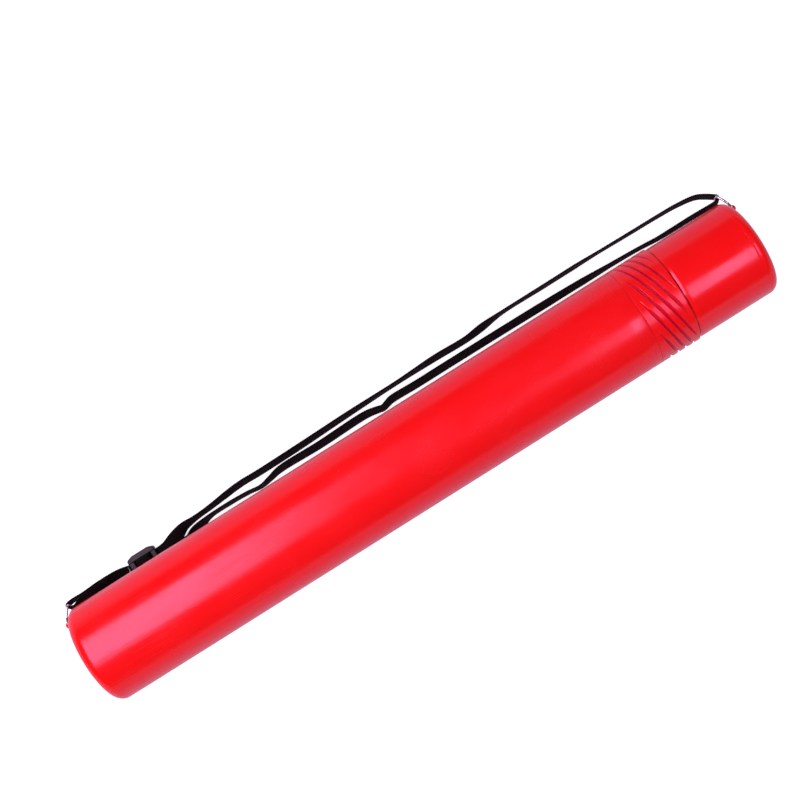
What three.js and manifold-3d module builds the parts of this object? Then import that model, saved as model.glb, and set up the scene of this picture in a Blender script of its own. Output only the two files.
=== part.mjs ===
// Telescopic poster tube: a red outer tube and inner tube that slide in one another, a twist
// collar that locks them, a push-on cap and a black webbing strap on two wire rings.
// Millimetres, +Z up. The tube lies along +X, with the middle of its base face at the origin.
import * as THREE from "three";
import { mergeVertices } from "three/addons/utils/BufferGeometryUtils.js";
import Module from "manifold-3d";

// Main sizes
const CLOSED_LENGTH = 500;
const TRAVEL = 300;
const TUBE_DIAMETER = 68;
const CAP_STEP = 0.8;
const CAP_LENGTH = 59.5;
const COLLAR_LENGTH = 28.5;
const INNER_TUBE_LENGTH = 425;

// Walls
const OUTER_WALL = 1.9;
const BASE_WALL = 2.5;
const INNER_WALL = 0.9;
const CAP_END_WALL = 2;
const NECK_WALL = 0.75;

// Clearances
const SLIDE_CLEARANCE = 0.3;
const JOINT_GAP = 0.3;
const MOUTH_GAP = 1;
const CAP_HEADROOM = 6;

// Edges
const BASE_ROUNDING = 7;
const CAP_ROUNDING = 6;
const CAP_BEVEL = 0.7;
const SEAM_BEVEL = 0.4;

// Lock between collar and inner tube
const LATCH_DEPTH = 0.9;
const LATCH_PITCH = 25;
const TOOTH_LENGTH = 6;
const TOOTH_PLAY = 0.5;
const TOOTH_ANGLE = 30;
const FLAT_ANGLE = 50;
const FLAT_EXTRA_DEPTH = 0.05;
const TOOTH_COUNT = 3;

// Neck that carries the collar
const NECK_LENGTH = 3.4;
const BEAD_LENGTH = 0.9;
const BEAD_HEIGHT = 0.25;
const KEY_LENGTH = 3;
const KEY_ANGLE = 20;

// Helical grip grooves on the collar
const GROOVE_COUNT = 10;
const GROOVE_WRAP = 152.5;
const GROOVE_START_ANGLE = 22.5;
const GROOVE_DEPTH = 1.35;
const GROOVE_HALF_WIDTH = 1.05;
const GROOVE_FLOOR_HALF_WIDTH = 0.4;
const GROOVE_START_MARGIN = 3.3;
const GROOVE_END_MARGIN = 1.9;
const GROOVE_STEPS = 10;
const GROOVE_TAPER = 0.14;

// Wire rings and the lugs that hold them, one at each end face
const WIRE_DIAMETER = 1.6;
const WIRE_CLEARANCE = 0.6;
const LUG_INSET = 7.5;
const LUG_WIDTH = 6;
const LUG_THICKNESS = 3.5;
const LUG_TIP_WALL = 1;
const LUG_HOLE_REACH = 4;
const LUG_DROP_ANGLE = 15;
const LUG_ROOT = 1.3;
const RING_HALF_WIDTH = 7;
const RING_SIDE = 3.5;
const RING_CORNER = 2;
const BASE_RING_LEAN = 122;
const CAP_RING_LEAN = 115;

// Strap and slider
const STRAP_WIDTH = 10;
const STRAP_THICKNESS = 1.2;
const SLIDER_LENGTH = 20;
const SLIDER_SLOT_WIDTH = 11.2;
const SLIDER_SLOT_LENGTH = 5.4;
const SLIDER_BAR = 2.8;
const SLIDER_RAIL = 3.4;
const SLIDER_THICKNESS = 2.6;
const SLIDER_SPOT = [54.5, 33.4, -29.2, 90];
const SLIDER_RAIL_TOP = 2.1;
const SLIDER_RAIL_BEVEL = 1.3;
const FLOOR_CLEARANCE = 0.02;

// Tube for which the strap's points are listed, and where they begin and stop to follow it
const ROUTE_RADIUS = 34;
const ROUTE_LENGTH = 500;
const RUN_START = 106;
const RUN_END = 409;
const RING_HEIGHT = -10.5;
const LOW_HEIGHT = -25;

// Facets around the tube
const TUBE_FACETS = 60;
const INNER_FACETS = 36;

// Places worked out from the sizes
const TUBE_RADIUS = TUBE_DIAMETER / 2;
const CAP_RADIUS = TUBE_RADIUS - CAP_STEP;
const OUTER_BORE = TUBE_RADIUS - OUTER_WALL;
const BAND_RADIUS = OUTER_BORE - SLIDE_CLEARANCE;
const GROOVE_RADIUS = BAND_RADIUS - LATCH_DEPTH;
const INNER_BORE = GROOVE_RADIUS - INNER_WALL;
const CAP_START = CLOSED_LENGTH - CAP_LENGTH;
const COLLAR_END = CAP_START - MOUTH_GAP;
const COLLAR_START = COLLAR_END - COLLAR_LENGTH;
const NECK_END = COLLAR_START + NECK_LENGTH;
const TOOTH_MIDDLE = COLLAR_START + COLLAR_LENGTH * 0.55;
const INNER_END = CLOSED_LENGTH - CAP_END_WALL - CAP_HEADROOM;
const INNER_START = INNER_END - INNER_TUBE_LENGTH;
const KEY_START = NECK_END - NECK_LENGTH - KEY_LENGTH;
const FLAT_START = KEY_START - TRAVEL - TOOTH_PLAY;
const FLOOR = -TUBE_RADIUS * Math.cos(Math.PI / TUBE_FACETS);
const LUG_RADIUS = TUBE_RADIUS - LUG_INSET;
const SLIDER_MIDDLE = new THREE.Vector3(...beside(SLIDER_SPOT));

// Colours
const RED = 0xe3141a;
const BLACK = 0x141214;
const STEEL = 0xc9ccd0;

const wasm = await Module();
wasm.setup();

// Turns a closed three.js geometry into a solid that can be joined and cut.
function solid(geometry) {
  const bare = geometry.clone();
  bare.deleteAttribute("normal");
  bare.deleteAttribute("uv");
  const merged = mergeVertices(bare, 1e-4);
  const mesh = new wasm.Mesh({
    numProp: 3,
    vertProperties: new Float32Array(merged.attributes.position.array),
    triVerts: new Uint32Array(merged.index.array),
  });
  return new wasm.Manifold(mesh);
}

// Turns a solid back into a geometry.
function geometryOf(body) {
  const mesh = body.getMesh();
  const geometry = new THREE.BufferGeometry();
  geometry.setAttribute("position", new THREE.BufferAttribute(mesh.vertProperties, 3));
  geometry.setIndex(new THREE.BufferAttribute(mesh.triVerts, 1));
  return geometry;
}

// Moves every vertex of a geometry to the place that a function gives for it.
function mapped(geometry, place) {
  const position = geometry.attributes.position;
  const point = new THREE.Vector3();
  for (let i = 0; i < position.count; i += 1) {
    point.fromBufferAttribute(position, i);
    place(point);
    position.setXYZ(i, point.x, point.y, point.z);
  }
  return geometry;
}

// Point on a cylinder round the X axis; the angle starts at the top and grows towards -Y.
function around(x, angle, radius) {
  return [x, -radius * Math.sin(angle), radius * Math.cos(angle)];
}

// Solid of revolution round X from an outline of [x, radius] points, a flat facet lowest.
function turned(outline, facets) {
  const profile = outline.map(([x, radius]) => new THREE.Vector2(radius, x));
  const lathe = new THREE.LatheGeometry(profile, facets, Math.PI / facets, 2 * Math.PI);
  return lathe.rotateZ(-Math.PI / 2);
}

// Quarter round of an outline: from one end angle to the other about a middle.
function rounding(x, radius, size, from, to, steps) {
  const points = [];
  for (let i = 0; i <= steps; i += 1) {
    const angle = THREE.MathUtils.degToRad(from + ((to - from) * i) / steps);
    points.push([x + size * Math.cos(angle), radius + size * Math.sin(angle)]);
  }
  return points;
}

// Part of a ring between two radii and two places along X, centred on an angle in degrees.
function ringSector(innerRadius, outerRadius, start, end, middle, width, steps) {
  const from = THREE.MathUtils.degToRad(middle - width / 2 + 180);
  const to = THREE.MathUtils.degToRad(middle + width / 2 + 180);
  const shape = new THREE.Shape();
  shape.absarc(0, 0, outerRadius, from, to, false);
  shape.absarc(0, 0, innerRadius, to, from, true);
  const geometry = new THREE.ExtrudeGeometry(shape, {
    depth: end - start,
    bevelEnabled: false,
    curveSegments: steps,
  });
  return geometry.rotateY(Math.PI / 2).translate(start, 0, 0);
}

// Lug with a hole for the ring, standing on an end face; outward is +1 or -1 along X.
function lug(faceX, outward) {
  const holeRadius = WIRE_DIAMETER / 2 + WIRE_CLEARANCE;
  const tipRadius = holeRadius + LUG_TIP_WALL;
  const shape = new THREE.Shape();
  shape.moveTo(-LUG_ROOT, -LUG_WIDTH / 2);
  shape.lineTo(0, -LUG_WIDTH / 2);
  shape.absarc(LUG_HOLE_REACH, 0, tipRadius, -Math.PI / 2, Math.PI / 2, false);
  shape.lineTo(0, LUG_WIDTH / 2);
  shape.lineTo(-LUG_ROOT, LUG_WIDTH / 2);
  const hole = new THREE.Path();
  hole.absarc(LUG_HOLE_REACH, 0, holeRadius, 0, 2 * Math.PI, true);
  shape.holes.push(hole);
  const geometry = new THREE.ExtrudeGeometry(shape, {
    depth: LUG_THICKNESS,
    bevelEnabled: false,
    curveSegments: 8,
  });
  geometry.translate(0, LUG_RADIUS, -LUG_THICKNESS / 2);
  if (outward < 0) {
    geometry.rotateY(Math.PI);
  }
  const drop = THREE.MathUtils.degToRad(-LUG_DROP_ANGLE);
  return geometry.rotateX(drop).translate(faceX, 0, 0);
}

// Wire ring of D outline through a lug: a round torus laid along the outline.
function wireRing(faceX, outward, leanDegrees) {
  const straightBar = RING_HALF_WIDTH - RING_CORNER;
  const outline = new THREE.Path();
  outline.absarc(RING_HALF_WIDTH, 0, RING_HALF_WIDTH, -Math.PI, -Math.PI / 2, false);
  outline.lineTo(RING_HALF_WIDTH + RING_SIDE, -RING_HALF_WIDTH);
  const cornerX = RING_HALF_WIDTH + RING_SIDE;
  outline.absarc(cornerX, -straightBar, RING_CORNER, -Math.PI / 2, 0, false);
  outline.lineTo(cornerX + RING_CORNER, straightBar);
  outline.absarc(cornerX, straightBar, RING_CORNER, 0, Math.PI / 2, false);
  outline.lineTo(RING_HALF_WIDTH, RING_HALF_WIDTH);
  outline.absarc(RING_HALF_WIDTH, 0, RING_HALF_WIDTH, Math.PI / 2, Math.PI, false);
  const torus = new THREE.TorusGeometry(RING_HALF_WIDTH, WIRE_DIAMETER / 2, 8, 40);
  mapped(torus, (point) => {
    const share = (Math.atan2(point.y, point.x) / (2 * Math.PI) + 1) % 1;
    const away = Math.hypot(point.x, point.y) - RING_HALF_WIDTH;
    const spot = outline.getPointAt(share);
    const along = outline.getTangentAt(share);
    point.x = spot.x + along.y * away;
    point.y = spot.y - along.x * away;
  });
  // The outline lies in X-Y; Y becomes the hole's direction and X the lean of the ring.
  const lean = THREE.MathUtils.degToRad(leanDegrees);
  torus.rotateX(Math.PI / 2).rotateZ(lean);
  torus.translate(LUG_HOLE_REACH, LUG_RADIUS, 0);
  if (outward < 0) {
    torus.rotateY(Math.PI);
  }
  const drop = THREE.MathUtils.degToRad(-LUG_DROP_ANGLE);
  return torus.rotateX(drop).translate(faceX, 0, 0);
}

function outerTube() {
  const neckRadius = OUTER_BORE + NECK_WALL;
  const beadRadius = neckRadius + BEAD_HEIGHT;
  const bodyEnd = COLLAR_START - JOINT_GAP / 2;
  const innerRounding = BASE_ROUNDING - OUTER_WALL;
  const middleX = BASE_ROUNDING;
  const outline = [
    [0, 0],
    ...rounding(middleX, TUBE_RADIUS - BASE_ROUNDING, BASE_ROUNDING, 180, 90, 6),
    [bodyEnd - SEAM_BEVEL, TUBE_RADIUS],
    [bodyEnd, TUBE_RADIUS - SEAM_BEVEL],
    [bodyEnd, neckRadius],
    [NECK_END - 2 * BEAD_LENGTH, neckRadius],
    [NECK_END - BEAD_LENGTH, beadRadius],
    [NECK_END, neckRadius],
    [NECK_END, OUTER_BORE],
    ...rounding(BASE_WALL + innerRounding, OUTER_BORE - innerRounding, innerRounding, 90, 180, 3),
    [BASE_WALL, 0],
  ];
  let body = solid(turned(outline, TUBE_FACETS));
  const keyReach = GROOVE_RADIUS + SLIDE_CLEARANCE;
  for (let i = 0; i < TOOTH_COUNT; i += 1) {
    const middle = (360 / TOOTH_COUNT) * i;
    const root = OUTER_BORE + NECK_WALL / 2;
    const key = ringSector(keyReach, root, KEY_START, KEY_START + KEY_LENGTH, middle, KEY_ANGLE, 4);
    body = body.add(solid(key));
  }
  return geometryOf(body.add(solid(lug(0, -1))));
}

// Cutter of one grip groove: a straight prism wound round the collar, shallow at its ends.
function gripGroove(startAngle) {
  const section = new THREE.Shape([
    new THREE.Vector2(-GROOVE_FLOOR_HALF_WIDTH, -1),
    new THREE.Vector2(GROOVE_FLOOR_HALF_WIDTH, -1),
    new THREE.Vector2(GROOVE_HALF_WIDTH, 0),
    new THREE.Vector2(GROOVE_HALF_WIDTH, 1),
    new THREE.Vector2(-GROOVE_HALF_WIDTH, 1),
    new THREE.Vector2(-GROOVE_HALF_WIDTH, 0),
  ]);
  const prism = new THREE.ExtrudeGeometry(section, {
    depth: 1,
    steps: GROOVE_STEPS,
    bevelEnabled: false,
  });
  const start = COLLAR_START + GROOVE_START_MARGIN;
  const length = COLLAR_END - GROOVE_END_MARGIN - start;
  const wrap = THREE.MathUtils.degToRad(GROOVE_WRAP);
  const slope = Math.atan2(length, wrap * TUBE_RADIUS);
  return mapped(prism, (point) => {
    const share = point.z;
    const fromEnd = Math.min(share, 1 - share) / GROOVE_TAPER;
    const fullness = Math.min(1, 0.12 + 0.88 * fromEnd);
    const across = point.x * (0.35 + 0.65 * fullness);
    const depth = point.y < 0 ? GROOVE_DEPTH * fullness : 0;
    const rise = point.y > 0 ? 1 : 0.02;
    const radius = TUBE_RADIUS + (point.y < 0 ? -depth : rise);
    const x = start + length * share + across * Math.cos(slope);
    const angle = startAngle + wrap * share - (across * Math.sin(slope)) / TUBE_RADIUS;
    const [px, py, pz] = around(x, angle, radius);
    point.set(px, py, pz);
  });
}

function twistCollar() {
  const neckSeat = OUTER_BORE + NECK_WALL + SLIDE_CLEARANCE;
  const beadSeat = neckSeat + BEAD_HEIGHT;
  const start = COLLAR_START + JOINT_GAP / 2;
  const seatEnd = NECK_END + SLIDE_CLEARANCE;
  const outline = [
    [start, neckSeat],
    [start, TUBE_RADIUS - SEAM_BEVEL],
    [start + SEAM_BEVEL, TUBE_RADIUS],
    [COLLAR_END - SEAM_BEVEL, TUBE_RADIUS],
    [COLLAR_END, TUBE_RADIUS - SEAM_BEVEL],
    [COLLAR_END, OUTER_BORE],
    [seatEnd, OUTER_BORE],
    [seatEnd, neckSeat],
    [NECK_END - BEAD_LENGTH, beadSeat],
    [NECK_END - 2 * BEAD_LENGTH, neckSeat],
    [start, neckSeat],
  ];
  let body = solid(turned(outline, TUBE_FACETS));
  const toothReach = GROOVE_RADIUS + SLIDE_CLEARANCE;
  const toothRoot = OUTER_BORE + LATCH_DEPTH / 3;
  const toothStart = TOOTH_MIDDLE - TOOTH_LENGTH / 2;
  for (let i = 0; i < TOOTH_COUNT; i += 1) {
    const middle = (360 / TOOTH_COUNT) * i;
    const end = toothStart + TOOTH_LENGTH;
    const tooth = ringSector(toothReach, toothRoot, toothStart, end, middle, TOOTH_ANGLE, 6);
    body = body.add(solid(tooth));
  }
  for (let i = 0; i < GROOVE_COUNT; i += 1) {
    const angle = THREE.MathUtils.degToRad(GROOVE_START_ANGLE + (360 / GROOVE_COUNT) * i);
    body = body.subtract(solid(gripGroove(angle)));
  }
  return geometryOf(body);
}

// Inner tube: lock grooves every pitch down its length, crossed by flats that let the teeth by.
function innerTube() {
  const outline = [[INNER_START, INNER_BORE], [INNER_START, BAND_RADIUS]];
  const grooveLength = TOOTH_LENGTH + 2 * TOOTH_PLAY;
  const count = Math.round(TRAVEL / LATCH_PITCH);
  for (let i = count; i >= 0; i -= 1) {
    const middle = TOOTH_MIDDLE - LATCH_PITCH * i;
    outline.push([middle - grooveLength / 2, BAND_RADIUS]);
    outline.push([middle - grooveLength / 2, GROOVE_RADIUS]);
    outline.push([middle + grooveLength / 2, GROOVE_RADIUS]);
    outline.push([middle + grooveLength / 2, BAND_RADIUS]);
  }
  outline.push([INNER_END, BAND_RADIUS], [INNER_END, INNER_BORE], [INNER_START, INNER_BORE]);
  let body = solid(turned(outline, INNER_FACETS));
  for (let i = 0; i < TOOTH_COUNT; i += 1) {
    const middle = (360 / TOOTH_COUNT) * i;
    const outside = BAND_RADIUS + 1;
    const end = INNER_END + 1;
    const steps = Math.round((FLAT_ANGLE * INNER_FACETS) / 360);
    const floor = GROOVE_RADIUS - FLAT_EXTRA_DEPTH;
    const flat = ringSector(floor, outside, FLAT_START, end, middle, FLAT_ANGLE, steps);
    body = body.subtract(solid(flat));
  }
  return geometryOf(body);
}

function cap() {
  const bore = BAND_RADIUS + SLIDE_CLEARANCE;
  const innerRounding = CAP_ROUNDING - (CAP_RADIUS - bore);
  const innerFace = CLOSED_LENGTH - CAP_END_WALL;
  const outline = [
    [CAP_START, bore],
    [CAP_START, CAP_RADIUS - CAP_BEVEL],
    [CAP_START + 2 * CAP_BEVEL, CAP_RADIUS],
    ...rounding(CLOSED_LENGTH - CAP_ROUNDING, CAP_RADIUS - CAP_ROUNDING, CAP_ROUNDING, 90, 0, 6),
    [CLOSED_LENGTH, 0],
    [innerFace, 0],
    ...rounding(innerFace - innerRounding, bore - innerRounding, innerRounding, 0, 90, 4),
    [CAP_START, bore],
  ];
  const body = solid(turned(outline, TUBE_FACETS));
  return geometryOf(body.add(solid(lug(CLOSED_LENGTH, 1))));
}

function slider() {
  const width = SLIDER_SLOT_WIDTH + 2 * SLIDER_RAIL;
  let body = solid(new THREE.BoxGeometry(SLIDER_LENGTH, width, SLIDER_THICKNESS));
  const slotMiddle = (SLIDER_BAR + SLIDER_SLOT_LENGTH) / 2;
  for (const side of [-1, 1]) {
    const slot = new THREE.BoxGeometry(SLIDER_SLOT_LENGTH, SLIDER_SLOT_WIDTH, 2 * SLIDER_THICKNESS);
    slot.translate(side * slotMiddle, 0, 0);
    body = body.subtract(solid(slot));
  }
  // Side rails reach down to the floor and have their long top edges taken off.
  const bottom = FLOOR + FLOOR_CLEARANCE - SLIDER_MIDDLE.z;
  for (const side of [-1, 1]) {
    const rail = new THREE.Shape([
      new THREE.Vector2(0, bottom),
      new THREE.Vector2(SLIDER_RAIL, bottom),
      new THREE.Vector2(SLIDER_RAIL, SLIDER_RAIL_TOP - SLIDER_RAIL_BEVEL),
      new THREE.Vector2(SLIDER_RAIL - SLIDER_RAIL_BEVEL, SLIDER_RAIL_TOP),
      new THREE.Vector2(0, SLIDER_RAIL_TOP),
    ]);
    const bar = new THREE.ExtrudeGeometry(rail, { depth: SLIDER_LENGTH, bevelEnabled: false });
    // The section's width runs outwards along Y and its length along X.
    bar.translate(0, 0, -SLIDER_LENGTH / 2).rotateX(Math.PI / 2).rotateZ(Math.PI / 2);
    if (side < 0) {
      bar.rotateZ(Math.PI);
    }
    bar.translate(0, (side * SLIDER_SLOT_WIDTH) / 2, 0);
    body = body.add(solid(bar));
  }
  return geometryOf(body.translate(SLIDER_MIDDLE.toArray()));
}

// Moves a point of the strap with the tube's size: outwards with the tube's side, down with the
// floor where the point is low, and along with the cap end where it is past the slider.
function beside([x, y, z, lean]) {
  const wider = TUBE_RADIUS - ROUTE_RADIUS;
  const longer = CLOSED_LENGTH - ROUTE_LENGTH;
  const drop = THREE.MathUtils.degToRad(LUG_DROP_ANGLE);
  const low = THREE.MathUtils.clamp((RING_HEIGHT - z) / (RING_HEIGHT - LOW_HEIGHT), 0, 1);
  const far = THREE.MathUtils.clamp((x - RUN_START) / (RUN_END - RUN_START), 0, 1);
  const fall = Math.sin(drop) * (1 - low) + low;
  return [x + longer * far, y + wider * Math.cos(drop), z - wider * fall, lean];
}

// The strap's route as points [x, y, z, lean], from its sewn end at the base ring, through the
// slider, along the tube to the cap ring and back to the slider's middle bar. Lean is 0 where
// the webbing stands on edge and 90 where it lies flat. Each named length of it is one piece,
// and begins at the last point of the one before.
const STRAP_BASE_END = [
  [28, 35.35, -21.4, 48], [21, 35.8, -17.3, 34], [12, 36.1, -12.4, 20], [8, 35, -10.3, 17],
  [5.6, 34.05, -9.15, 15], [2.6, 34.05, -9.13, 15], [1.3, 34.7, -9.3, 15],
  [0.72, 35.84, -9.6, 15], [1.3, 37, -9.9, 15], [2.6, 37.75, -10.1, 15],
  [5.6, 38.1, -10.3, 15], [12, 37.8, -13, 18], [21, 37.2, -18.2, 34], [30, 36.2, -24, 52],
  [37, 34.9, -28.9, 74], [42, 33.6, -31.9, 88],
];
const STRAP_OUTER_STRAND = [
  [44.5, 33.4, -32.2, 90], [47.5, 33.4, -31.9, 90], [48.9, 33.4, -30.9, 90],
  [49.7, 33.4, -29.2, 90], [50.1, 33.4, -27.2, 90], [51.7, 33.4, -25.6, 90],
  [54.5, 33.4, -25, 90], [57.3, 33.4, -25.6, 90], [59.1, 33.4, -27.2, 90],
  [59.7, 33.4, -29.2, 90], [60.4, 33.4, -30.9, 90], [62, 33.4, -31.75, 90],
  [65, 33.5, -31.8, 89], [72.5, 34.3, -30.7, 84], [80, 37.2, -28.6, 65], [88, 40.2, -26.8, 42],
  [96, 41.2, -28.4, 24], [110, 42.2, -28.95, 18], [135, 44.6, -28.95, 18],
  [151, 44.4, -28.95, 18], [182, 44.8, -28.95, 18], [221, 45.8, -28.9, 14],
  [260, 46.3, -28.84, 8], [290, 46.7, -28.95, 18], [314, 46.2, -28.95, 18],
  [327, 47.4, -29.05, 23], [343, 48.6, -28.84, 7], [376, 48.6, -28.84, 7],
  [409, 48.6, -28.84, 8],
];
const STRAP_OUTER_END = [
  [442, 48, -28.4, 10], [464, 47.6, -25.5, 11], [478, 46.9, -20.8, 12],
];
const STRAP_CAP_LOOP = [
  [489.6, 44.8, -15, 13], [495.7, 41.2, -11.6, 15], [499, 38.65, -10.4, 15],
  [500.25, 37.65, -10.1, 15], [500.65, 36.54, -9.79, 15], [500.1, 35.35, -9.5, 15],
  [498.9, 34.72, -9.3, 15], [495.7, 34.6, -9.4, 15], [480, 34.9, -14, 16],
];
const STRAP_INNER_END = [
  [466, 34.9, -20, 15], [457, 35, -24.5, 14], [442, 36.2, -28.4, 13], [409, 37.3, -28.95, 18],
];
const STRAP_INNER_STRAND = [
  [393, 37.7, -29, 20], [370, 38, -29.06, 24], [342, 38.3, -29.06, 24],
  [298, 38.5, -29.06, 24], [270, 38.5, -29.06, 24], [250.5, 38.8, -29.06, 24],
  [247, 37.9, -29, 22], [243.2, 37, -29, 20], [239, 37.9, -29, 22], [231, 39.2, -29.06, 24],
  [195, 38.6, -29.06, 24], [163, 38.8, -28.95, 20], [155, 37.2, -28.9, 14],
  [147, 35.8, -28.84, 9], [137, 36.9, -28.84, 8], [122, 37.5, -28.84, 9],
  [106, 37, -28.95, 18], [96, 34.2, -30.2, 50], [88, 30, -32.8, 86], [80, 30.4, -33.25, 90],
  [72.5, 32, -33.25, 90], [65.5, 33.2, -33.3, 90], [62, 33.4, -33.25, 90],
  [58, 33.4, -32.4, 90], [54.5, 33.4, -31.7, 90], [52.7, 33.4, -31.5, 90],
  [51.6, 33.4, -30.5, 90], [51.4, 33.4, -29.2, 90], [51.45, 33.4, -28.1, 90],
  [52.6, 33.4, -27, 90], [54.5, 33.4, -26.8, 90], [56.8, 33.4, -27, 90],
];
const STRAP_PIECES = [
  { name: "strap_base_end", points: STRAP_BASE_END, stepsPerPoint: 2 },
  { name: "strap_outer_strand", points: STRAP_OUTER_STRAND, stepsPerPoint: 1 },
  { name: "strap_outer_end", points: STRAP_OUTER_END, stepsPerPoint: 2 },
  { name: "strap_cap_loop", points: STRAP_CAP_LOOP, stepsPerPoint: 2 },
  { name: "strap_inner_end", points: STRAP_INNER_END, stepsPerPoint: 1 },
  { name: "strap_inner_strand", points: STRAP_INNER_STRAND, stepsPerPoint: 1 },
];
const STRAP_ROUTE = STRAP_PIECES.flatMap((part) => part.points).map(beside);

// One piece of webbing: a straight flat prism laid along its part of the route.
function webbing(first, last, stepsPerPoint) {
  const curve = new THREE.CatmullRomCurve3(STRAP_ROUTE.map(([x, y, z]) => new THREE.Vector3(x, y, z)));
  const leans = new THREE.CatmullRomCurve3(
    STRAP_ROUTE.map(([, , , lean], index) => new THREE.Vector3(index, lean, 0)),
  );
  const w = STRAP_WIDTH / 2;
  const h = STRAP_THICKNESS / 2;
  const edge = h / 2;
  const section = new THREE.Shape([
    new THREE.Vector2(-w, -h + edge), new THREE.Vector2(-w + edge, -h),
    new THREE.Vector2(w - edge, -h), new THREE.Vector2(w, -h + edge),
    new THREE.Vector2(w, h - edge), new THREE.Vector2(w - edge, h),
    new THREE.Vector2(-w + edge, h), new THREE.Vector2(-w, h - edge),
  ]);
  const prism = new THREE.ExtrudeGeometry(section, {
    depth: 1,
    steps: (last - first) * stepsPerPoint,
    bevelEnabled: false,
  });
  const spans = STRAP_ROUTE.length - 1;
  const trim = JOINT_GAP / 2;
  return mapped(prism, (point) => {
    const share = (first + (last - first) * point.z) / spans;
    const spot = curve.getPoint(share);
    const along = curve.getTangent(share);
    const lean = THREE.MathUtils.degToRad(leans.getPoint(share).y);
    const across = new THREE.Vector3(0, Math.sin(lean), Math.cos(lean));
    across.addScaledVector(along, -across.dot(along)).normalize();
    const through = new THREE.Vector3().crossVectors(along, across);
    if (point.z === 0) {
      spot.addScaledVector(along, trim);
    }
    if (point.z === 1) {
      spot.addScaledVector(along, -trim);
    }
    point.copy(spot.addScaledVector(across, point.x).addScaledVector(through, point.y));
  });
}

// A named mesh of one piece in its own material.
function piece(name, geometry, color, roughness, metalness) {
  const material = new THREE.MeshStandardMaterial({ color, roughness, metalness });
  const mesh = new THREE.Mesh(geometry, material);
  mesh.name = name;
  return mesh;
}

const group = new THREE.Group();
group.add(piece("outer_tube", outerTube(), RED, 0.25, 0));
group.add(piece("twist_collar", twistCollar(), RED, 0.25, 0));
group.add(piece("inner_tube", innerTube(), RED, 0.3, 0));
group.add(piece("cap", cap(), RED, 0.22, 0));
group.add(piece("base_ring", wireRing(0, -1, BASE_RING_LEAN), STEEL, 0.2, 1));
group.add(piece("cap_ring", wireRing(CLOSED_LENGTH, 1, CAP_RING_LEAN), STEEL, 0.2, 1));
group.add(piece("strap_slider", slider(), BLACK, 0.45, 0));
let reached = 0;
for (const part of STRAP_PIECES) {
  const first = Math.max(reached - 1, 0);
  reached += part.points.length;
  const band = webbing(first, reached - 1, part.stepsPerPoint);
  group.add(piece(part.name, band, BLACK, 0.9, 0));
}

export default group;
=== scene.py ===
"""Telescopic poster tube, dressed for the studio: a red plastic tube that lies on a white floor,
with its twist collar, push-on cap, wire rings and black webbing strap. Metres, +Z up."""
import math

import bmesh
import bpy
import numpy as np
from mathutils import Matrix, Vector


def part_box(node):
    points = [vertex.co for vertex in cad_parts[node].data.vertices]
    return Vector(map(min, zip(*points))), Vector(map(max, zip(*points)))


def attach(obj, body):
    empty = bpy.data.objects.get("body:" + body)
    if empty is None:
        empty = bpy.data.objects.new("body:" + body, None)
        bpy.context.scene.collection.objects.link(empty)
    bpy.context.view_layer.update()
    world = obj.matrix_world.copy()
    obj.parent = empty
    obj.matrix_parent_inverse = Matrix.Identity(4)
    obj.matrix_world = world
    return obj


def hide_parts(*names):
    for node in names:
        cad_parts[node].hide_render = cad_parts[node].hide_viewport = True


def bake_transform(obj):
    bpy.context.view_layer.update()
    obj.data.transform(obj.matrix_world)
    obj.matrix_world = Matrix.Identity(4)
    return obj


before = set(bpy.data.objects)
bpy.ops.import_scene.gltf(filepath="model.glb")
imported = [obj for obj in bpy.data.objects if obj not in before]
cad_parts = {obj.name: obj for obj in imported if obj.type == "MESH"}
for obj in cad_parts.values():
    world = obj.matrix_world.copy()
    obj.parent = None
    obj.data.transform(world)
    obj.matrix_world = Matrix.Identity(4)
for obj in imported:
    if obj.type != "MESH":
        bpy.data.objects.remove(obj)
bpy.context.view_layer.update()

MM = 0.001

# Sizes that the solids also have, in metres
TUBE_R = 34 * MM
CAP_R = 33.2 * MM
OUTER_WALL = 1.9 * MM
SLIDE_GAP = 0.3 * MM
LATCH_DEPTH = 0.9 * MM
INNER_WALL = 0.9 * MM
OUTER_BORE = TUBE_R - OUTER_WALL
BAND_R = OUTER_BORE - SLIDE_GAP
LATCH_R = BAND_R - LATCH_DEPTH
INNER_BORE = LATCH_R - INNER_WALL
NECK_WALL = 0.75 * MM
NECK_LENGTH = 3.4 * MM
BEAD_HEIGHT = 0.25 * MM
BEAD_LENGTH = 0.9 * MM
BASE_WALL = 2.5 * MM
CAP_END_WALL = 2 * MM
BASE_ROUNDING = 7 * MM
CAP_ROUNDING = 6 * MM
SEAM_BEVEL = 0.4 * MM
SEAM_EDGE = 0.25 * MM
SEAM_EDGE_MIDDLE = 0.07 * MM
COLLAR_LENGTH = 28.5 * MM
LATCH_PITCH = 25 * MM
LATCH_WIDTH = 7 * MM
LATCH_COUNT = 13
TOOTH_COUNT = 3
TOOTH_LENGTH = 6 * MM
TOOTH_ANGLE = 30
TOOTH_SHARE = 0.55
TOOTH_ROOT = 0.3 * MM
KEY_LENGTH = 3 * MM
KEY_ANGLE = 20
FLAT_ANGLE = 50
FLAT_LENGTH = 303.5 * MM
# The lugs' distance from the axis, their angle under the middle height in degrees, and how far
# the hole stands off the end face
LUG_RADIUS = 26.5 * MM
LUG_DROP = 15
HOLE_REACH = 4 * MM

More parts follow.
